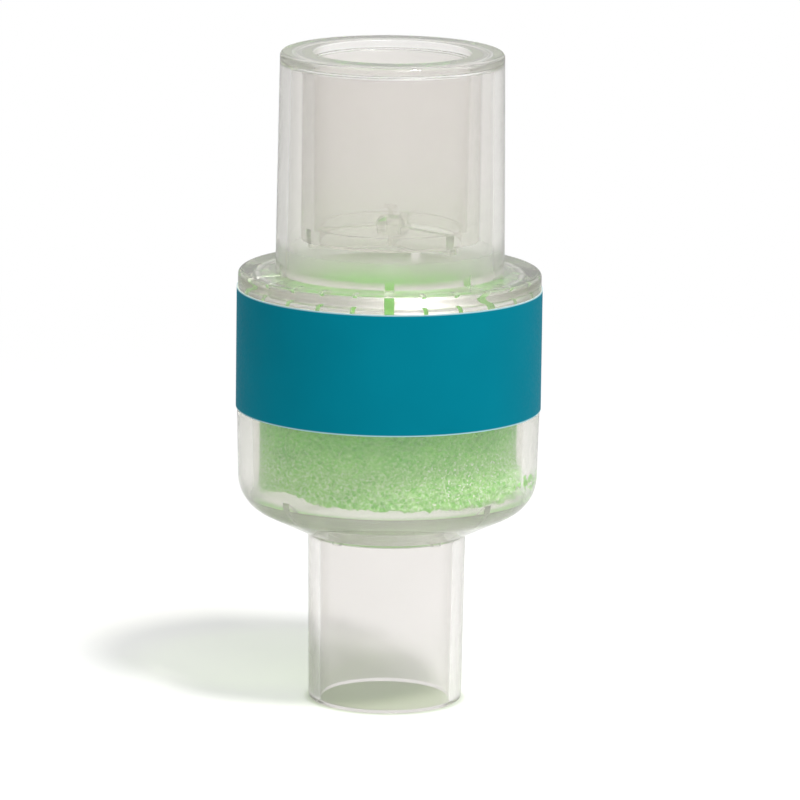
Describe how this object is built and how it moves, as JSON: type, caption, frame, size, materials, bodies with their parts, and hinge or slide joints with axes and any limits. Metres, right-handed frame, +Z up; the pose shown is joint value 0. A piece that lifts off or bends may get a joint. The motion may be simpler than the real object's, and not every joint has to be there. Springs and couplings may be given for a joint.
{
  "type": "heat and moisture exchanger",
  "caption": "Small clear breathing-circuit heat and moisture exchanger: coaxial conical port above, plain conical tube below, soft green foam medium inside and a blue label band.",
  "frame": {"origin": "centre of the open end of the small tube, on the plane that the part stands on", "axes": "+Z up along the common axis of both connectors, towards the large port; -Y is the front of the picture's view, +X to its right"},
  "size_m": [0.03, 0.03, 0.0647],
  "materials": {
    "clear_plastic": "clear injection-moulded plastic, polished, faintly warm grey",
    "foam": "open-cell foam, soft green, granular and matte",
    "label_film": "printed film, plain teal blue, satin, bare of text"
  },
  "bodies": {
    "root": {"upper_housing": "clear_plastic", "lower_housing": "clear_plastic", "hme_foam": "foam", "label": "label_film"}
  },
  "joints": []
}
